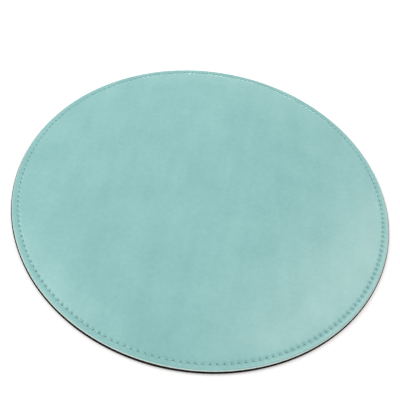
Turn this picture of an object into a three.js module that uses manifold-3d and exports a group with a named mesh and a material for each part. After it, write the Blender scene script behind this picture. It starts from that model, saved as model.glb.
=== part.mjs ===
// Round stitched mouse pad.
// A facing of coated cloth is glued over a thin board, laid on a rubber base and sewn to the base
// all round with one row of lockstitch. The board ends inside the seam, so the sewn rim is thinner
// than the middle. Millimetres, +Z up. The origin is the middle of the underside.

import * as THREE from "three";
import { mergeGeometries, mergeVertices } from "three/addons/utils/BufferGeometryUtils.js";
import Module from "manifold-3d";

const wasm = await Module();
wasm.setup();

// Sheets
const padDiameter = 220;
const baseThickness = 1.5;
const lowerGlueThickness = 0.1;
const coreThickness = 0.4;
const upperGlueThickness = 0.1;
const backingThickness = 0.65;
const skinThickness = 0.25;

// Edges of the sheets
const facingSetback = 0.65; // how far the facing is cut inside the edge of the base
const edgeRollWidth = 0.9; // the skin rounds down over this width at its cut edge
const edgeRollDrop = 0.12;
const climbWidth = 10; // the facing climbs from the rim onto the board over this width
const coreClearance = 0.5; // from the skived edge of the board to the climbing facing
const glueMargin = 1; // the glue stops this far inside the board's edge, or inside the head of the climb

// Seam
const seamInset = 3.7; // from the edge of the base to the row of stitches
const seamLand = 1.1; // flat rim from the row of stitches inwards to the foot of the climb
const seamStartDegrees = 0.23;
const stitchPitch = 3.38;
const stitchDip = 0.3; // a stitch turns down this far from the middle of its hole
const stitchSlant = 0.08; // a stitch leaves this far outside the row and arrives as far inside it
const threadDiameter = 0.3;
const threadClearance = 0.04;
const deskClearance = 0.05; // from the lowest loop of thread to the surface under the pad
const loopSlack = 0.13; // spare room on each side of the lower thread in the upper thread's loops
const grooveMargin = 0.15; // the groove under the seam is wider than the needle holes by this much

// Facets
const circleSegments = 64;
const edgeRollSteps = 2;
const threadSides = 3;
const holeSides = 4; // a leather needle leaves a diamond-shaped hole
const cornerTolerance = 1e-4; // corners closer than this are one corner

// Heights of the layers
const coreBottom = baseThickness + lowerGlueThickness;
const coreTop = coreBottom + coreThickness;
const backingBottom = coreTop + upperGlueThickness;
const climbHeight = backingBottom - baseThickness;
const facingThickness = backingThickness + skinThickness;
const rimTop = baseThickness + facingThickness;

// Radii
const padRadius = padDiameter / 2;
const facingRadius = padRadius - facingSetback;
const seamRadius = padRadius - seamInset;
const climbFoot = seamRadius - seamLand;
const climbHead = climbFoot - climbWidth;

// The board's edge runs beside the underside of the climbing facing.
function boardRadiusAt(height) {
  const climbed = (height - baseThickness) / climbHeight;
  return climbFoot - climbWidth * climbed - coreClearance;
}

const lowerGlueRadius = boardRadiusAt(coreBottom) - glueMargin;
const upperGlueRadius = climbHead - glueMargin;

// Stitches
const stitchCount = Math.round((2 * Math.PI * seamRadius) / stitchPitch);
const stitchAngle = (2 * Math.PI) / stitchCount;
const seamStart = THREE.MathUtils.degToRad(seamStartDegrees);
const stitchTurn = stitchDip / seamRadius;
const legOffset = threadDiameter + threadClearance + loopSlack;
const needleHoleRadius = legOffset + Math.SQRT1_2 * threadDiameter + threadClearance;
const stitchHeight = rimTop + threadClearance + threadDiameter / 2;
const loopHeight = deskClearance + threadDiameter / 2;
const bobbinHeight = loopHeight + threadDiameter + threadClearance;
const grooveDepth = bobbinHeight + threadDiameter / 2 + threadClearance;
const grooveHalfWidth = needleHoleRadius + grooveMargin;

// A round sheet from half of its section: points of radius and height, from the axis underneath,
// out round the edge and back to the axis on top.
function roundSheet(section) {
  const profile = section.map(([radius, height]) => new THREE.Vector2(radius, height));
  return new THREE.LatheGeometry(profile, circleSegments).rotateX(Math.PI / 2);
}

// A closed body with shared corners, as a solid that can be cut.
function solidOf(geometry) {
  const bare = new THREE.BufferGeometry();
  bare.setAttribute("position", geometry.getAttribute("position"));
  bare.setIndex(geometry.getIndex());
  const joined = mergeVertices(bare, cornerTolerance);
  const corners = Array.from(joined.getIndex().array);
  const triangles = [];
  for (let first = 0; first < corners.length; first += 3) {
    const triangle = corners.slice(first, first + 3);
    if (new Set(triangle).size === 3) {
      triangles.push(...triangle);
    }
  }
  return new wasm.Manifold(
    new wasm.Mesh({
      numProp: 3,
      vertProperties: joined.getAttribute("position").array,
      triVerts: new Uint32Array(triangles),
    }),
  );
}

function geometryOf(solid) {
  const mesh = solid.getMesh();
  const geometry = new THREE.BufferGeometry();
  geometry.setAttribute("position", new THREE.BufferAttribute(mesh.vertProperties, mesh.numProp));
  geometry.setIndex(new THREE.BufferAttribute(mesh.triVerts, 1));
  geometry.computeVertexNormals();
  return geometry;
}

// The needle's path through the layers at every stitch, as one tool.
function needleHoles() {
  const highest = stitchHeight + threadDiameter;
  const holes = [];
  for (let stitch = 0; stitch < stitchCount; stitch += 1) {
    const hole = new THREE.CylinderGeometry(needleHoleRadius, needleHoleRadius, 2 * highest, holeSides);
    hole.rotateX(Math.PI / 2);
    hole.translate(seamRadius, 0, 0);
    hole.rotateZ(seamStart + stitch * stitchAngle);
    holes.push(hole);
  }
  return solidOf(mergeGeometries(holes));
}

const seamHoles = needleHoles();

function pierced(geometry) {
  return geometryOf(solidOf(geometry).subtract(seamHoles));
}

// The facing's shape at a height above its own underside: flat in the middle, down the climb, flat rim.
function facingLine(above) {
  return [
    [0, backingBottom + above],
    [climbHead, backingBottom + above],
    [climbFoot, baseThickness + above],
  ];
}

// The rounded upper edge of the skin, from the cut edge inwards.
function edgeRoll() {
  const roll = [];
  for (let step = 0; step <= edgeRollSteps; step += 1) {
    const turn = (step / edgeRollSteps) * (Math.PI / 2);
    const radius = facingRadius - edgeRollWidth * (1 - Math.cos(turn));
    const height = rimTop - edgeRollDrop * (1 - Math.sin(turn));
    roll.push([radius, height]);
  }
  return roll;
}

function facingSkin() {
  const underside = facingLine(backingThickness);
  const face = facingLine(facingThickness).reverse();
  const rim = [[facingRadius, baseThickness + backingThickness], ...edgeRoll()];
  return pierced(roundSheet([...underside, ...rim, ...face]));
}

function facingBackingCloth() {
  const underside = facingLine(0);
  const face = facingLine(backingThickness).reverse();
  const rim = [
    [facingRadius, baseThickness],
    [facingRadius, baseThickness + backingThickness],
  ];
  return pierced(roundSheet([...underside, ...rim, ...face]));
}

function glueFilm(radius, bottom, thickness) {
  return roundSheet([
    [0, bottom],
    [radius, bottom],
    [radius, bottom + thickness],
    [0, bottom + thickness],
  ]);
}

function coreBoard() {
  return roundSheet([
    [0, coreBottom],
    [boardRadiusAt(coreBottom), coreBottom],
    [boardRadiusAt(coreTop), coreTop],
    [0, coreTop],
  ]);
}

// The base has a groove underneath, where the seam is drawn into the rubber.
function baseSheet() {
  const grooveInside = seamRadius - grooveHalfWidth;
  const grooveOutside = seamRadius + grooveHalfWidth;
  return pierced(
    roundSheet([
      [0, 0],
      [grooveInside, 0],
      [grooveInside, grooveDepth],
      [grooveOutside, grooveDepth],
      [grooveOutside, 0],
      [padRadius, 0],
      [padRadius, baseThickness],
      [grooveOutside, baseThickness],
      [grooveInside, baseThickness],
      [0, baseThickness],
    ]),
  );
}

// A closed thread is drawn through its own points, which are closest where it turns.
class ThreadPath extends THREE.CatmullRomCurve3 {
  getUtoTmapping(share) {
    return share;
  }
}

function threadAlong(points) {
  const path = new ThreadPath(points, true);
  return new THREE.TubeGeometry(path, points.length, threadDiameter / 2, threadSides, true);
}

function pointOnSeam(angle, outwards, height) {
  const radius = seamRadius + outwards;
  return new THREE.Vector3(radius * Math.cos(angle), radius * Math.sin(angle), height);
}

// Each stitch of the upper thread lies on the skin and turns down into the next hole, where the
// thread passes inside, under and outside the lower thread and comes up again.
function needleThread() {
  const points = [];
  for (let stitch = 0; stitch < stitchCount; stitch += 1) {
    const hole = seamStart + stitch * stitchAngle;
    points.push(pointOnSeam(hole - stitchTurn, -stitchSlant, stitchHeight));
    points.push(pointOnSeam(hole, -legOffset, loopHeight));
    points.push(pointOnSeam(hole, legOffset, loopHeight));
    points.push(pointOnSeam(hole + stitchTurn, stitchSlant, stitchHeight));
  }
  return threadAlong(points);
}

// The lower thread runs round the groove through every loop of the upper one.
function bobbinThread() {
  const points = [];
  for (let stitch = 0; stitch < stitchCount; stitch += 1) {
    points.push(pointOnSeam(seamStart + stitch * stitchAngle, 0, bobbinHeight));
  }
  return threadAlong(points);
}

// Finishes
const mintFilm = { color: 0x98cac7, roughness: 0.55 };
const mintThread = { color: 0x8fc0bc, roughness: 0.7 };
const paleCloth = { color: 0xc9d8cf, roughness: 0.95 };
const driedGlue = { color: 0xd8d2bd, roughness: 0.5 };
const greyBoard = { color: 0x9a8f80, roughness: 0.9 };
const darkRubber = { color: 0x25211e, roughness: 0.85 };
const darkThread = { color: 0x2c2724, roughness: 0.8 };

function piece(name, geometry, finish) {
  const material = new THREE.MeshStandardMaterial({ ...finish, metalness: 0 });
  const mesh = new THREE.Mesh(geometry, material);
  mesh.name = name;
  return mesh;
}

const mousePad = new THREE.Group();
mousePad.name = "mouse_pad";
mousePad.add(
  piece("base_sheet", baseSheet(), darkRubber),
  piece("lower_glue_film", glueFilm(lowerGlueRadius, baseThickness, lowerGlueThickness), driedGlue),
  piece("core_board", coreBoard(), greyBoard),
  piece("upper_glue_film", glueFilm(upperGlueRadius, coreTop, upperGlueThickness), driedGlue),
  piece("facing_backing_cloth", facingBackingCloth(), paleCloth),
  piece("facing_skin", facingSkin(), mintFilm),
  piece("needle_thread", needleThread(), mintThread),
  piece("bobbin_thread", bobbinThread(), darkThread),
);

export default mousePad;
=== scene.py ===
# Round stitched mouse pad: a coated-cloth facing over a thin board, sewn to a rubber base.
# Metres, +Z up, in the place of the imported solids: the origin is the middle of the underside.
import math
import bpy
import numpy as np
from mathutils import Matrix, Vector


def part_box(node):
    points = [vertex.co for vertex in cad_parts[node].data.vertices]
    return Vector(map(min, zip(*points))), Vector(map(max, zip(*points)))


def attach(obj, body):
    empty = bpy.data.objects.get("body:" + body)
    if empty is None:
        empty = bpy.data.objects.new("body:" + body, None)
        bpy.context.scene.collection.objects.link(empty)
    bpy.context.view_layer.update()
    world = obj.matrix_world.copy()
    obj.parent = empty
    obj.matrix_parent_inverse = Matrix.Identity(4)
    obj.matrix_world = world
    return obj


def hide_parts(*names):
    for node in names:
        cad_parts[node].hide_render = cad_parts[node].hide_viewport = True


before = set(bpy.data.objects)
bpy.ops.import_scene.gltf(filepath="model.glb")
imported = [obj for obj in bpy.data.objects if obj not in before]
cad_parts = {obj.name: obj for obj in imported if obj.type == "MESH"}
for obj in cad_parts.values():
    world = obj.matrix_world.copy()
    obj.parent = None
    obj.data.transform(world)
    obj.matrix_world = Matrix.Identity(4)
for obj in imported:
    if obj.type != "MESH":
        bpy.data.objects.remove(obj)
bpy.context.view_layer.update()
mm = 0.001


# Base sheet: dark brown-black rubber, die-cut a little larger than the facing, with softened edges.
# The needle pierces it at every stitch, and the row of stitches is drawn into a channel underneath.

base_low, base_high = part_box("base_sheet")
base_radius = base_high.x
base_top = base_high.z
base_edge_round = 0.12 * mm
base_hole_radius = 0.5 * mm
channel_half_width = 1.25 * mm
channel_depth = 0.76 * mm
channel_shares = (0.75, 0.85, 0.92, 1)  # rings of corners on the sides of the channel
edge_turns = (0, 25, 45, 60, 75, 90)  # degrees round an edge that rounds over

# The cut edge wanders in waves: how many go round the sheet, and where each starts.
cut_wander = 0.035 * mm
cut_waves = ((7, 1), (19, 2))

seam_inset = 3.7 * mm
seam_radius = base_radius - seam_inset
stitch_pitch = 3.38 * mm
stitch_count = round(2 * math.pi * seam_radius / stitch_pitch)
stitch_turn = 2 * math.pi / stitch_count
seam_start = math.radians(0.23)


def new_piece(name, corners, faces, sharp_degrees=40):
    """A mesh object in the scene, smooth except over its sharp edges."""
    mesh = bpy.data.meshes.new(name)
    mesh.from_pydata(corners, [], faces)
    mesh.validate()
    mesh.shade_smooth()
    mesh.set_sharp_from_angle(angle=math.radians(sharp_degrees))
    piece = bpy.data.objects.new(name, mesh)
    bpy.context.scene.collection.objects.link(piece)
    return piece


class PiercedFace:
    """One face of a round sheet that the needle has pierced at every stitch.

    Rings of corners run round the face. Each stitch has eight columns of corners, closest at its
    hole, and two rings of corners bend round the hole. Towards the middle the corners get fewer.
    A slot above 1 makes each hole that many times longer along the row than across it.
    """

    collar_share = 1.75
    collar_gap = 0.35 * mm
    centre_column = 3
    thinning = 4

    # Steps from the middle of a hole: 1 is its rim and 2 is the collar round it.
    steps = range(-2, 3)

    def __init__(self, height_at, hole_radius, inner_radii, outer_radii, middle_radii, slot=1):
        self.height_at = height_at
        self.slot = slot
        collar = self.collar_share * hole_radius
        side = collar + self.collar_gap
        self.steps_out = {-2: -collar, -1: -hole_radius, 0: 0, 1: hole_radius, 2: collar}
        beside_hole = np.array([-side, -collar, -hole_radius, 0, hole_radius, collar, side])
        self.columns = np.append(slot * beside_hole, stitch_pitch / 2)
        self.count = stitch_count * len(self.columns)
        self.corners = []
        self.faces = []
        self.pierce(inner_radii, outer_radii)
        self.fill_middle(middle_radii)

    def place(self, x, y):
        """Adds corners at their heights and gives the number of the first."""
        first = len(self.corners)
        self.corners.extend(np.stack([x, y, self.height_at(x, y)], axis=-1).tolist())
        return first

    def ring(self, along, radius):
        """A ring from the places of its corners along one stitch, repeated at every stitch."""
        holes = seam_start + stitch_turn * np.arange(stitch_count)
        turn = (holes[:, None] + along / seam_radius).ravel()
        spread = np.tile(radius, stitch_count)
        return self.place(spread * np.cos(turn), spread * np.sin(turn))

    def plain_ring(self, radius):
        """A ring that is round all the way."""
        return self.ring(self.columns, np.full(len(self.columns), radius))

    def collar_ring(self, level):
        """A ring near the row of holes, bent round each hole."""
        along = self.columns.copy()
        out = np.full(len(along), float(self.steps_out[level]))
        for column in self.steps:
            reach = max(abs(column), abs(level))
            if reach:
                turn = math.atan2(level, column)
                along[self.centre_column + column] = self.slot * self.steps_out[reach] * math.cos(turn)
                out[self.centre_column + column] = self.steps_out[reach] * math.sin(turn)
        return self.ring(along, seam_radius + out)

    def join(self, inner, outer, count, left_open=()):
        """Faces between two rings, without the columns that a hole leaves open."""
        for column in range(count):
            if column % len(self.columns) not in left_open:
                following = (column + 1) % count
                self.faces.append((inner + column, outer + column, outer + following, inner + following))

    def pierce(self, inner_radii, outer_radii):
        """The outer part of the face, with its holes."""
        levels = [self.collar_ring(level) for level in self.steps]
        inside = [self.plain_ring(radius) for radius in inner_radii]
        outside = [self.plain_ring(radius) for radius in outer_radii]
        rings = [*inside, *levels, *outside]
        _, inner_rim, row, outer_rim, _ = levels
        for inner, outer in zip(rings, rings[1:]):
            beside_row = row in (inner, outer)
            hole = (self.centre_column - 1, self.centre_column) if beside_row else ()
            self.join(inner, outer, self.count, hole)
        self.middle_rim = rings[0]
        self.edge = rings[-1]
        self.hole_rims = []
        for stitch in range(stitch_count):
            here = stitch * len(self.columns) + self.centre_column
            inner_side = [inner_rim + here + 1, inner_rim + here, inner_rim + here - 1]
            outer_side = [outer_rim + here - 1, outer_rim + here, outer_rim + here + 1]
            self.hole_rims.append([row + here + 1, *inner_side, row + here - 1, *outer_side])

    def fill_middle(self, radii):
        """The plain middle of the face, where rings get fewer corners twice on the way in."""
        rim = np.array(self.corners[self.middle_rim : self.middle_rim + self.count])[:, :2]
        rim /= np.hypot(rim[:, 0], rim[:, 1])[:, None]
        outer, count = self.middle_rim, self.count
        for number, radius in enumerate(radii):
            thins = number in (0, len(radii) // 2)
            if thins:
                rim = rim[:: self.thinning]
                count = len(rim)
            inner = self.place(*(radius * rim).T)
            if thins:
                self.join_thinned(inner, outer, count)
            else:
                self.join(inner, outer, count)
            outer = inner
        self.faces.append(tuple(range(outer, outer + count)))

    def join_thinned(self, inner, outer, count):
        """Faces between a ring and an outer one with several times its corners."""
        for column in range(count):
            first = column * self.thinning
            arc = range(first, first + self.thinning + 1)
            edge = [outer + corner % (count * self.thinning) for corner in arc]
            self.faces.append((inner + column, *edge, inner + (column + 1) % count))


def pierced_sheet(name, over, under):
    """A closed sheet from its two faces, with walls at the cut edge and through every hole."""
    shift = len(over.corners)
    faces = list(over.faces)
    faces.extend(tuple(shift + corner for corner in reversed(face)) for face in under.faces)
    for column in range(over.count):
        following = (column + 1) % over.count
        low, high = shift + under.edge, over.edge
        faces.append((low + column, low + following, high + following, high + column))
    for top, bottom in zip(over.hole_rims, under.hole_rims):
        for here in range(len(top)):
            there = here - 1
            faces.append((top[here], top[there], shift + bottom[there], shift + bottom[here]))
    used = sorted({corner for face in faces for corner in face})
    number = {corner: place for place, corner in enumerate(used)}
    corners = over.corners + under.corners
    faces = [tuple(number[corner] for corner in face) for face in faces]
    return new_piece(name, [corners[corner] for corner in used], faces)


def edge_radii(edge, width):
    """Radii of the rings of an edge that rounds over, closest where it turns down."""
    return [edge - width + width * math.sin(math.radians(turn)) for turn in edge_turns]


def edge_drop(x, y, edge, width, drop):
    """How far a rounded edge has fallen at each place."""
    share = np.clip((np.hypot(x, y) - edge + width) / width, 0, 1)
    return drop * (1 - np.sqrt(1 - share**2))


def base_over(x, y):
    """The upper side is flat and rounds over at its edge."""
    return base_top - edge_drop(x, y, base_radius, base_edge_round, base_edge_round)


def base_under(x, y):
    """The underside has a round channel under the seam and the same round edge."""
    out = np.clip((np.hypot(x, y) - seam_radius) / channel_half_width, -1, 1)
    channel = channel_depth * np.cos(out * math.pi / 2) ** 2
    return base_low.z + channel + edge_drop(x, y, base_radius, base_edge_round, base_edge_round)


base_edge = edge_radii(base_radius, base_edge_round)
channel_reach = [channel_half_width * share for share in channel_shares]
channel_inside = [seam_radius - reach for reach in reversed(channel_reach)]
channel_outside = [seam_radius + reach for reach in channel_reach]
plain_middle = [90 * mm, 60 * mm, 25 * mm, 8 * mm]
base = pierced_sheet(
    "base_sheet_rubber",
    PiercedFace(base_over, base_hole_radius, channel_inside[:1], base_edge, plain_middle),
    PiercedFace(base_under, base_hole_radius, channel_inside, channel_outside + base_edge, plain_middle),
)

# The die leaves the cut edge a few hundredths of a millimetre out of round.
for corner in base.data.vertices:
    spread = math.hypot(corner.co.x, corner.co.y)
    if spread > seam_radius + channel_half_width:
        turn = math.atan2(corner.co.y, corner.co.x)
        waves = [math.sin(count * turn + start) for count, start in cut_waves]
        wander = cut_wander * sum(waves) / len(waves)
        corner.co.xy *= (spread + wander) / spread


def new_finish(name, colour, roughness):
    """A material with one colour and roughness on its surface shader, ready for texture nodes."""
    finish = bpy.data.materials.new(name)
    finish.use_nodes = True
    shader = finish.node_tree.nodes["Principled BSDF"]
    shader.inputs["Base Color"].default_value = (*colour, 1)
    shader.inputs["Roughness"].default_value = roughness
    return finish, finish.node_tree, shader


def add_node(tree, kind, links=None, **values):
    """A node with its sockets set by name, underscores standing for spaces, and its links made."""
    made = tree.nodes.new(kind)
    for name, value in values.items():
        made.inputs[name.replace("_", " ")].default_value = value
    for name, source in (links or {}).items():
        tree.links.new(source, made.inputs[name])
    return made


def in_millimetres(tree, stretch=(1, 1, 1), shift=(0, 0, 0)):
    """The place on the object in millimetres; a pattern is longer along an axis where stretch is below 1."""
    place = add_node(tree, "ShaderNodeTexCoord").outputs["Object"]
    scale = [part / mm for part in stretch]
    moved = add_node(tree, "ShaderNodeMapping", {"Vector": place}, Location=shift, Scale=scale)
    return moved.outputs["Vector"]


def noise_of(tree, size_mm, detail=2.0, **placing):
    """Soft noise with patches about size_mm across."""
    links = {"Vector": in_millimetres(tree, **placing)}
    return add_node(tree, "ShaderNodeTexNoise", links, Scale=1 / size_mm, Detail=detail).outputs["Fac"]


def cells_of(tree, size_mm, feature="F1"):
    """Distances in a pattern of irregular cells about size_mm across."""
    cells = add_node(tree, "ShaderNodeTexVoronoi", {"Vector": in_millimetres(tree)}, Scale=1 / size_mm)
    cells.feature = feature
    return cells.outputs["Distance"]


def ramp_of(tree, source, *stops):
    """Colours by the strength of a pattern, from stops of strength and colour."""
    made = add_node(tree, "ShaderNodeValToRGB", {"Fac": source})
    marks = made.color_ramp.elements
    while len(marks) < len(stops):
        marks.new(1)
    for mark, (place, colour) in zip(marks, stops):
        mark.position = place
        mark.color = (*colour, 1)
    return made.outputs["Color"]


def range_of(tree, source, low, high):
    """A pattern from 0 to 1 brought to a range of values."""
    return add_node(tree, "ShaderNodeMapRange", {"Value": source}, To_Min=low, To_Max=high).outputs[0]


def add_bump(tree, shader, *layers):
    """Stacks bumps on a shader; each layer is a height pattern and its depth."""
    normal = None
    for height, depth in layers:
        links = {"Height": height}
        if normal:
            links["Normal"] = normal
        normal = add_node(tree, "ShaderNodeBump", links, Distance=depth).outputs["Normal"]
    tree.links.new(normal, shader.inputs["Normal"])


def rubber_finish():
    """Almost black where freshly cut; painted light greys the textured underside, with patches of dust."""
    cut, dull = (0.0045, 0.0038, 0.0033), (0.012, 0.010, 0.0085)
    # Painted light: the two greyest tones show only on faces that look down, varied by dust.
    painted_light_grey, dusty_painted_light_grey = (0.045, 0.041, 0.038), (0.085, 0.078, 0.072)
    dust_mm, scuff_mm = 6, 2
    least_rough, most_rough = 0.7, 0.92
    pebble_mm, pebble_depth = 0.45, 0.05 * mm
    grain_mm, grain_depth = 0.2, 0.02 * mm
    mirror_level = 0.08
    straight_down = (0, 0, -1)
    half = 0.5  # the tint follows the tilt of a face and the patches of dust, half each
    finish, tree, shader = new_finish("matt_dark_rubber", cut, roughness=0.8)
    normal = add_node(tree, "ShaderNodeNewGeometry").outputs["Normal"]
    facing_down = add_node(tree, "ShaderNodeVectorMath", {0: normal})
    facing_down.operation = "DOT_PRODUCT"
    facing_down.inputs[1].default_value = straight_down
    # Painted light: by their tilt, faces that look down are painted paler.
    underside = range_of(tree, facing_down.outputs["Value"], 0, half)
    patches = range_of(tree, noise_of(tree, dust_mm, detail=6), 0, half)
    dust_and_painted_light = add_node(tree, "ShaderNodeMath", {0: underside, 1: patches}).outputs[0]
    tint = ramp_of(tree, dust_and_painted_light, (0.17, cut), (0.37, dull), (0.67, painted_light_grey), (0.87, dusty_painted_light_grey))
    tree.links.new(tint, shader.inputs["Base Color"])
    scuffs = range_of(tree, noise_of(tree, scuff_mm, detail=4), least_rough, most_rough)
    tree.links.new(scuffs, shader.inputs["Roughness"])
    pebbles = cells_of(tree, pebble_mm)
    grain = noise_of(tree, grain_mm)
    add_bump(tree, shader, (pebbles, pebble_depth), (grain, grain_depth))
    shader.inputs["Specular IOR Level"].default_value = mirror_level
    return finish


base.data.materials.append(rubber_finish())
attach(base, "root")
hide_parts("base_sheet")


# Glue films and core board: a thin fibre board with a skived edge keeps the pad flat. Contact glue
# holds it to the base and to the facing. All three are closed in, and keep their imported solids.


def glue_finish():
    """Dried glue, yellower where it lies thick."""
    thick, thin = (0.62, 0.55, 0.38), (0.74, 0.70, 0.56)
    patch_mm = 5
    ripple_mm, ripple_depth = 3, 0.03 * mm
    finish, tree, shader = new_finish("dried_contact_glue", thin, roughness=0.45)
    tint = ramp_of(tree, noise_of(tree, patch_mm, detail=5), (0.3, thin), (0.7, thick))
    tree.links.new(tint, shader.inputs["Base Color"])
    add_bump(tree, shader, (noise_of(tree, ripple_mm, detail=3), ripple_depth))
    return finish


def board_finish():
    """Pressed fibres that lie mostly one way, with darker specks."""
    fibre, speck = (0.33, 0.28, 0.22), (0.20, 0.165, 0.125)
    fibre_mm, fibre_stretch = 0.8, (1, 3, 1)
    fuzz_mm, fuzz_depth = 0.6, 0.04 * mm
    finish, tree, shader = new_finish("pressed_fibre_board", fibre, roughness=0.9)
    fibres = noise_of(tree, fibre_mm, detail=8, stretch=fibre_stretch)
    tree.links.new(ramp_of(tree, fibres, (0.4, speck), (0.6, fibre)), shader.inputs["Base Color"])
    add_bump(tree, shader, (noise_of(tree, fuzz_mm, detail=6), fuzz_depth))
    return finish


def refinish(node, finish):
    """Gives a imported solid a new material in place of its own."""
    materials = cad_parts[node].data.materials
    materials.clear()
    materials.append(finish)


glue = glue_finish()
refinish("lower_glue_film", glue)
refinish("core_board", board_finish())
refinish("upper_glue_film", glue)


# Backing cloth: the pale cloth that the facing's film is cast on. It reaches a little further than the
# film, so its cut edge shows as a pale line. It climbs onto the board and is squeezed by the seam.

skin_low, skin_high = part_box("facing_skin")
cloth_low, cloth_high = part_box("facing_backing_cloth")
film_thickness = skin_high.z - cloth_high.z
facing_radius = skin_high.x
rim_top = skin_low.z + film_thickness
climb_height = skin_high.z - rim_top
climb_gap = 1.1 * mm
climb_width = 10 * mm
climb_foot = seam_radius - climb_gap
climb_head = climb_foot - climb_width
climb_ring_count = 7
shoulder_width = 13.5 * mm
shoulder_power = 1.45
row_squeeze = 0.01 * mm
rim_lift = 0.08 * mm
rim_reach = 1.9 * mm
pit_depth = 0.46 * mm
pit_reach = 0.54 * mm
hole_slot = 1.2
cloth_hole_radius = 0.32 * mm
cloth_proud = 0.05 * mm
cut_slant = 0.05 * mm
cloth_edge_over = facing_radius + cloth_proud
cloth_edge_under = cloth_edge_over + cut_slant


def along_seam(x, y):
    """Places measured from the row of stitches: along it from the nearest hole, and outwards."""
    stitches = (np.arctan2(y, x) - seam_start) / stitch_turn
    along = (stitches - np.round(stitches)) * stitch_pitch
    return along, np.hypot(x, y) - seam_radius


def cloth_under(x, y):
    """The underside climbs straight from the base onto the board."""
    climbed = np.clip((climb_foot - np.hypot(x, y)) / climb_width, 0, 1)
    return cloth_low.z + climb_height * climbed


def cloth_over(x, y):
    """The upper side falls in a round shoulder to the seam and springs up again outside it.

    The thread squeezes the whole row and draws a pit round each hole.
    """
    along, out = along_seam(x, y)
    fallen = np.clip(1 + out / shoulder_width, 0, 1)
    inside = climb_height - (climb_height + row_squeeze) * fallen**shoulder_power
    held = np.exp(-((out / rim_reach) ** 2))
    outside = rim_lift * (1 - held) - row_squeeze * held
    pit = pit_depth * np.exp(-((along / hole_slot) ** 2 + out**2) / pit_reach**2)
    return skin_low.z + np.where(out < 0, inside, outside) - pit


shoulder_head = seam_radius - shoulder_width
climb_rings = [shoulder_head, *np.linspace(climb_head, climb_foot, climb_ring_count)]
cloth = pierced_sheet(
    "facing_backing_cloth_edge",
    PiercedFace(cloth_over, cloth_hole_radius, climb_rings, [cloth_edge_over], plain_middle, hole_slot),
    PiercedFace(cloth_under, cloth_hole_radius, climb_rings, [cloth_edge_under], plain_middle, hole_slot),
)


def cloth_finish():
    """Pale matt threads, with painted shade in the gaps between them, where the bump is lowest."""
    pale, painted_gap_shade = (0.80, 0.92, 0.87), (0.64, 0.78, 0.72)
    thread_mm, thread_stretch, thread_depth = 0.35, (1, 1, 3), 0.08 * mm
    fuzz = 0.2
    finish, tree, shader = new_finish("pale_backing_cloth", pale, roughness=0.95)
    threads = noise_of(tree, thread_mm, detail=3, stretch=thread_stretch)
    # Painted shade: where the thread pattern is low, in the gaps, the cloth is tinted greyer.
    tree.links.new(ramp_of(tree, threads, (0.35, painted_gap_shade), (0.6, pale)), shader.inputs["Base Color"])
    add_bump(tree, shader, (threads, thread_depth))
    shader.inputs["Sheen Weight"].default_value = fuzz
    return finish


cloth.data.materials.append(cloth_finish())
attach(cloth, "root")
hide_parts("facing_backing_cloth")


# Facing skin: the mint polyurethane film cast on the cloth, the face that is seen and used. Smooth, with
# a fine grain and cloudy shading. Its cut edge rolls down, and the thread draws it in at every hole.

film_setback = 0.22 * mm
skin_edge = facing_radius - film_setback
skin_hole_radius = 0.3 * mm
lip_drop = 0.08 * mm
lip_width = 0.3 * mm
edge_roll_width = 0.9 * mm
edge_roll_drop = 0.14 * mm
rim_steps = (0.75 * mm, 1.1 * mm, 1.6 * mm)
shoulder_ring_count = 16
middle_ring_count = 12

# The face swells in slow waves across, along and aslant of the pad: their lengths and starts.
swell_height = 0.06 * mm
swell_margin = 12 * mm
swell_lengths = (17 * mm, 23 * mm, 31 * mm)
swell_starts = (1.3, 0.4, 2.1)


def smooth_step(share):
    """Eases from 0 to 1 with no corner at either end."""
    share = np.clip(share, 0, 1)
    return share * share * (3 - 2 * share)


def swell(x, y):
    """The slow unevenness of a glued facing, from none to its full height above the board."""
    waves = zip((x, y, x + y), swell_lengths, swell_starts)
    across, along, aslant = (np.sin(way / length + start) for way, length, start in waves)
    inside = smooth_step((climb_head - np.hypot(x, y)) / swell_margin)
    return swell_height * inside * (2 + across * along + aslant) / 4


def skin_over(x, y):
    """The film follows the cloth, turns down into each hole and rolls down at its edge."""
    along, out = along_seam(x, y)
    from_hole = np.hypot(along / hole_slot, out) - skin_hole_radius
    lip = lip_drop * np.exp(-((from_hole / lip_width) ** 2))
    roll = edge_drop(x, y, skin_edge, edge_roll_width, edge_roll_drop)
    return cloth_over(x, y) + film_thickness - lip - roll + swell(x, y)


skin_inside = np.linspace(shoulder_head, seam_radius - rim_steps[0], shoulder_ring_count)
skin_outside = [seam_radius + step for step in rim_steps]
skin_outside.extend(edge_radii(skin_edge, edge_roll_width))
outer_middle = np.linspace(92 * mm, 34 * mm, middle_ring_count)
inner_middle = np.linspace(30 * mm, 4 * mm, middle_ring_count)
skin_middle = [*outer_middle, *inner_middle]
skin = pierced_sheet(
    "facing_skin_film",
    PiercedFace(skin_over, skin_hole_radius, skin_inside, skin_outside, skin_middle, hole_slot),
    PiercedFace(cloth_over, skin_hole_radius, climb_rings, [skin_edge], plain_middle, hole_slot),
)


def mix_of(tree, first, second, share):
    """Two patterns mixed, with a share of the second."""
    return add_node(tree, "ShaderNodeMix", {"A": first, "B": second}, Factor=share).outputs["Result"]


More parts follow.
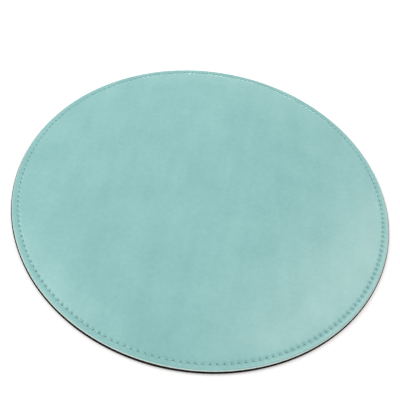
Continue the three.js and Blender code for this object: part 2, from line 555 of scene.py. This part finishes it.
def film_finish():
    """Slow clouds, long faint streaks and small flecks of mint, with a fine grain and fine pores."""
    deep = (0.225, 0.493, 0.477)
    mint = (0.253, 0.530, 0.514)
    pale = (0.289, 0.569, 0.553)
    cloud_mm, cloud_shift = 22, (40, 15, 0)
    streak_mm, streak_stretch, streak_share = 7, (1, 0.15, 1), 0.4
    fleck_mm, fleck_share = 2.5, 0.3
    shine_mm, least_rough, most_rough = 9, 0.22, 0.32
    grain_mm, grain_depth = 0.8, 0.015 * mm
    pore_mm, pore_depth = 0.25, 0.008 * mm
    finish, tree, shader = new_finish("mint_polyurethane_film", mint, roughness=0.27)
    clouds = noise_of(tree, cloud_mm, detail=6, shift=cloud_shift)
    streaks = noise_of(tree, streak_mm, detail=5, stretch=streak_stretch)
    flecks = noise_of(tree, fleck_mm, detail=3)
    mottle = mix_of(tree, mix_of(tree, clouds, streaks, streak_share), flecks, fleck_share)
    tint = ramp_of(tree, mottle, (0.36, deep), (0.5, mint), (0.66, pale))
    tree.links.new(tint, shader.inputs["Base Color"])
    shine = range_of(tree, noise_of(tree, shine_mm, detail=5), least_rough, most_rough)
    tree.links.new(shine, shader.inputs["Roughness"])
    grain = cells_of(tree, grain_mm, "DISTANCE_TO_EDGE")
    pores = noise_of(tree, pore_mm, detail=3)
    add_bump(tree, shader, (grain, grain_depth), (pores, pore_depth))
    return finish


skin.data.materials.append(film_finish())
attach(skin, "root")
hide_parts("facing_skin")


# Needle thread: the upper thread of the lockstitch, three plies of polyester in the facing's hue, painted
# paler than the facing as painted sheen. Each stitch lies in the drawn-in skin, dips through its hole
# and loops round the lower thread.

thread_radius = 0.16 * mm
ply_count = 3
ply_sides = 5
ply_lay = 1.3 * mm
stitch_proud = 0.09 * mm
stitch_rest = rim_top + stitch_proud
leg_out = 0.16 * mm
leg_top = 1.55 * mm
leg_foot = 1.05 * mm
loop_out = 0.32 * mm
loop_shoulder = 0.62 * mm
loop_belly = 0.36 * mm
loop_height = 0.19 * mm
needle_steps = 2

# Where a stitch comes up from its hole: along the row, out from it, and below its height at rest.
stitch_rise = [
    (0.10 * mm, 0.15 * mm, 0.50 * mm),
    (0.40 * mm, 0.13 * mm, 0.24 * mm),
    (0.75 * mm, 0.09 * mm, 0.08 * mm),
    (1.20 * mm, 0.04 * mm, 0),
]


def point_on_seam(stitch, along, out, height):
    """A point from a stitch's hole: along the row and outwards, at a height above the underside."""
    turn = seam_start + stitch * stitch_turn + along / seam_radius
    radius = seam_radius + out
    return (radius * math.cos(turn), radius * math.sin(turn), height)


def closed_curve(points, steps):
    """A smooth closed line through points, in so many steps from each point to the next."""
    here = np.array(points)
    before, after, beyond = np.roll(here, 1, 0), np.roll(here, -1, 0), np.roll(here, -2, 0)
    stages = []
    for step in range(steps):
        share = step / steps
        bend = (2 * before - 5 * here + 4 * after - beyond) * share**2
        turn_in = (3 * here - before - 3 * after + beyond) * share**3
        stages.append(here + ((after - before) * share + bend + turn_in) / 2)
    return np.stack(stages, axis=1).reshape(-1, 3)


def frames_along(line):
    """Two directions across a closed line at each point, turning as little as the line allows."""
    ahead = np.roll(line, -1, 0) - np.roll(line, 1, 0)
    ahead /= np.linalg.norm(ahead, axis=1)[:, None]
    across = np.empty_like(line)
    across[0] = np.cross(ahead[0], (0, 0, 1))
    across[0] /= np.linalg.norm(across[0])
    for point in range(1, len(line)):
        level = across[point - 1] - ahead[point] * np.dot(across[point - 1], ahead[point])
        across[point] = level / np.linalg.norm(level)
    return across, np.cross(ahead, across)


def plied_thread(name, line):
    """Twisted plies along a closed line, each ply a closed tube that touches its neighbours."""
    across, upright = frames_along(line)
    count = len(line)
    length = np.linalg.norm(np.roll(line, -1, 0) - line, axis=1).sum()
    slip = math.atan2(np.dot(across[-1], upright[0]), np.dot(across[-1], across[0]))
    twist = 2 * math.pi * round(length / ply_lay) - slip
    ply_radius = thread_radius / (1 + 1 / math.sin(math.pi / ply_count))
    corners, faces = [], []
    for ply in range(ply_count):
        turn = (twist * np.arange(count) / count + 2 * math.pi * ply / ply_count)[:, None]
        outward = np.cos(turn) * across + np.sin(turn) * upright
        sideways = np.cos(turn) * upright - np.sin(turn) * across
        middle = line + (thread_radius - ply_radius) * outward
        first = len(corners)
        for side in range(ply_sides):
            lean = 2 * math.pi * side / ply_sides
            skin_of_ply = middle + ply_radius * (math.cos(lean) * outward + math.sin(lean) * sideways)
            corners.extend(skin_of_ply.tolist())
            here = first + side * count
            there = first + (side + 1) % ply_sides * count
            for point in range(count):
                following = (point + 1) % count
                faces.append((here + point, here + following, there + following, there + point))
    return new_piece(name, corners, faces, sharp_degrees=80)


def needle_line():
    """The way of the needle thread: down the inner side of a hole, round, up and along to the next."""
    leg = [(leg_out, leg_foot), (leg_out, leg_top)]
    bow = [(loop_out, loop_belly), (loop_out, loop_shoulder)]
    up = [*bow, *leg]
    down = [(-out, height) for out, height in reversed(up)]
    loop = [*down, (0, loop_height), *up]
    rise = [(along, out, stitch_rest - below) for along, out, below in stitch_rise]
    fall = [(stitch_pitch - along, -out, height) for along, out, height in reversed(rise)]
    points = []
    for stitch in range(stitch_count):
        points.extend(point_on_seam(stitch, 0, out, height) for out, height in loop)
        points.extend(point_on_seam(stitch, *spot) for spot in [*rise, *fall])
    return closed_curve(points, needle_steps)


def thread_finish(name, dark, light):
    """Polyester fibres in two tones, with a slight fuzz."""
    fibre_mm = 0.3
    hair_mm, hair_depth = 0.06, 0.004 * mm
    fuzz = 0.25
    finish, tree, shader = new_finish(name, light, roughness=0.42)
    fibres = noise_of(tree, fibre_mm, detail=3)
    tree.links.new(ramp_of(tree, fibres, (0.3, dark), (0.65, light)), shader.inputs["Base Color"])
    add_bump(tree, shader, (noise_of(tree, hair_mm), hair_depth))
    shader.inputs["Sheen Weight"].default_value = fuzz
    return finish


# Painted sheen: both tones are paler than the facing's film.
sheen_painted_mint, sheen_painted_pale_mint = (0.45, 0.79, 0.77), (0.56, 0.90, 0.87)
needle_thread = plied_thread("needle_thread_plied", needle_line())
needle_thread.data.materials.append(thread_finish("mint_sewing_thread", sheen_painted_mint, sheen_painted_pale_mint))
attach(needle_thread, "root")
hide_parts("needle_thread")


# Bobbin thread: the lower thread, the same twist in the colour of the base. It runs round the channel
# under the seam, and the loops of the upper thread lift it at every hole.

bobbin_height = 0.53 * mm
bobbin_sag = 0.16 * mm
bobbin_points = 4
bobbin_steps = 3


def bobbin_line():
    """The way of the bobbin thread: highest at each hole, lowest half way to the next."""
    points = []
    for stitch in range(stitch_count):
        for point in range(bobbin_points):
            share = point / bobbin_points
            height = bobbin_height - bobbin_sag * math.sin(math.pi * share) ** 2
            points.append(point_on_seam(stitch, share * stitch_pitch, 0, height))
    return closed_curve(points, bobbin_steps)


black_fibre, brown_fibre = (0.012, 0.010, 0.009), (0.032, 0.027, 0.024)
bobbin_thread = plied_thread("bobbin_thread_plied", bobbin_line())
bobbin_thread.data.materials.append(thread_finish("dark_sewing_thread", black_fibre, brown_fibre))
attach(bobbin_thread, "root")
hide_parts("bobbin_thread")


# Studio: a plain white floor that keeps the pad's shadow, and white all round. A warm soft panel above
# the pad's right and a white one above its left show as pale sheen on the film near its front edge. Low
# panels behind and before the pad light the shoulder of its far side and the cut edge of its near side.

floor_radius = 0.6
floor_tuck = 0.2 * mm
floor_opening = base_radius - floor_tuck
floor_sides = 96
floor_white = 0.9
floor_lift = 0.25
sky_light = 0.57
warm_white = (1, 0.84, 0.8)
right_panel_place = (0.512, 0.525, 1.075)
right_panel_size = (0.36, 0.83)
right_panel_watts = 3.6
left_panel_place = (-0.42, 0.08, 0.52)
left_panel_size = (0.30, 0.47)
left_panel_watts = 1.42
back_panel_place = (0, 1.0, 0.177)
back_panel_size = (0.8, 0.15)
back_panel_watts = 3.0
front_panel_place = (0, -0.9, 0.12)
front_panel_size = (1.0, 0.2)
front_panel_watts = 1.6


def brightness(tree, as_light, as_seen):
    """One level for the light that a background gives, and another where it is seen or mirrored."""
    ray = add_node(tree, "ShaderNodeLightPath").outputs
    seen = ray["Is Camera Ray"]
    for kind in ("Is Glossy Ray", "Is Transmission Ray"):
        either = add_node(tree, "ShaderNodeMath", {0: seen, 1: ray[kind]})
        either.operation = "MAXIMUM"
        seen = either.outputs[0]
    return range_of(tree, seen, as_light, as_seen)


def studio_floor():
    """A flat ring, open under the pad so that light reaches the underside in views from below."""
    corners, faces = [], []
    for radius in (floor_opening, floor_radius):
        for side in range(floor_sides):
            turn = 2 * math.pi * side / floor_sides
            corners.append((radius * math.cos(turn), radius * math.sin(turn), 0))
    for side in range(floor_sides):
        following = (side + 1) % floor_sides
        faces.append((side, floor_sides + side, floor_sides + following, following))
    floor = new_piece("studio_floor", corners, faces)
    finish = bpy.data.materials.new("white_floor")
    finish.use_nodes = True
    tree = finish.node_tree
    tree.nodes.clear()
    matt = add_node(tree, "ShaderNodeBsdfDiffuse", Color=(floor_white, floor_white, floor_white, 1))
    lift = brightness(tree, as_light=0, as_seen=floor_lift)
    glow = add_node(tree, "ShaderNodeEmission", {"Strength": lift})
    lit = add_node(tree, "ShaderNodeAddShader", {0: matt.outputs[0], 1: glow.outputs[0]})
    clear = add_node(tree, "ShaderNodeBsdfTransparent")
    below = add_node(tree, "ShaderNodeNewGeometry").outputs["Backfacing"]
    sides = add_node(tree, "ShaderNodeMixShader", {0: below, 1: lit.outputs[0], 2: clear.outputs[0]})
    add_node(tree, "ShaderNodeOutputMaterial", {"Surface": sides.outputs[0]})
    floor.data.materials.append(finish)


def studio_sky():
    """White all round where it is seen, at a plain level of light."""
    world = bpy.data.worlds.new("white_studio")
    world.use_nodes = True
    bpy.context.scene.world = world
    background = world.node_tree.nodes["Background"]
    background.inputs["Color"].default_value = (1, 1, 1, 1)
    strength = brightness(world.node_tree, as_light=sky_light, as_seen=1)
    world.node_tree.links.new(strength, background.inputs["Strength"])


def soft_panel(name, place, size, watts, colour=(1, 1, 1)):
    """A soft rectangular light that faces the middle of the pad."""
    lamp = bpy.data.lights.new(name, "AREA")
    lamp.shape = "RECTANGLE"
    lamp.size, lamp.size_y = size
    lamp.energy = watts
    lamp.color = colour
    panel = bpy.data.objects.new(name, lamp)
    panel.location = place
    panel.rotation_euler = Vector(place).to_track_quat("Z", "Y").to_euler()
    bpy.context.scene.collection.objects.link(panel)


studio_floor()
studio_sky()
soft_panel("right_panel", right_panel_place, right_panel_size, right_panel_watts, warm_white)
soft_panel("left_panel", left_panel_place, left_panel_size, left_panel_watts)
soft_panel("back_panel", back_panel_place, back_panel_size, back_panel_watts)
soft_panel("front_panel", front_panel_place, front_panel_size, front_panel_watts)


# Camera: close above the front edge, looking down at the pad, rolled a little to the right.
# Its place and aim follow from the pad's outline in the photograph.

camera_elevation = math.radians(50.17)
camera_distance = 284.7 * mm
camera_back = camera_distance * math.cos(camera_elevation)
camera_height = camera_distance * math.sin(camera_elevation)
camera_film_mm = 36
camera_lens_mm = 42.79
nearest_seen = 10 * mm
aim_pan = math.radians(0.375)
aim_tilt = math.radians(-1.565)
aim_roll = math.radians(9.42)

camera = bpy.data.objects.new("camera", bpy.data.cameras.new("camera"))
camera.data.sensor_width = camera_film_mm
camera.data.lens = camera_lens_mm
camera.data.clip_start = nearest_seen
camera.matrix_world = (
    Matrix.Translation((0, -camera_back, camera_height))
    @ Matrix.Rotation(math.pi / 2 - camera_elevation, 4, "X")
    @ Matrix.Rotation(aim_pan, 4, "Y")
    @ Matrix.Rotation(aim_tilt, 4, "X")
    @ Matrix.Rotation(aim_roll, 4, "Z")
)
bpy.context.scene.collection.objects.link(camera)
bpy.context.scene.camera = camera
bpy.context.scene.view_settings.view_transform = "Standard"
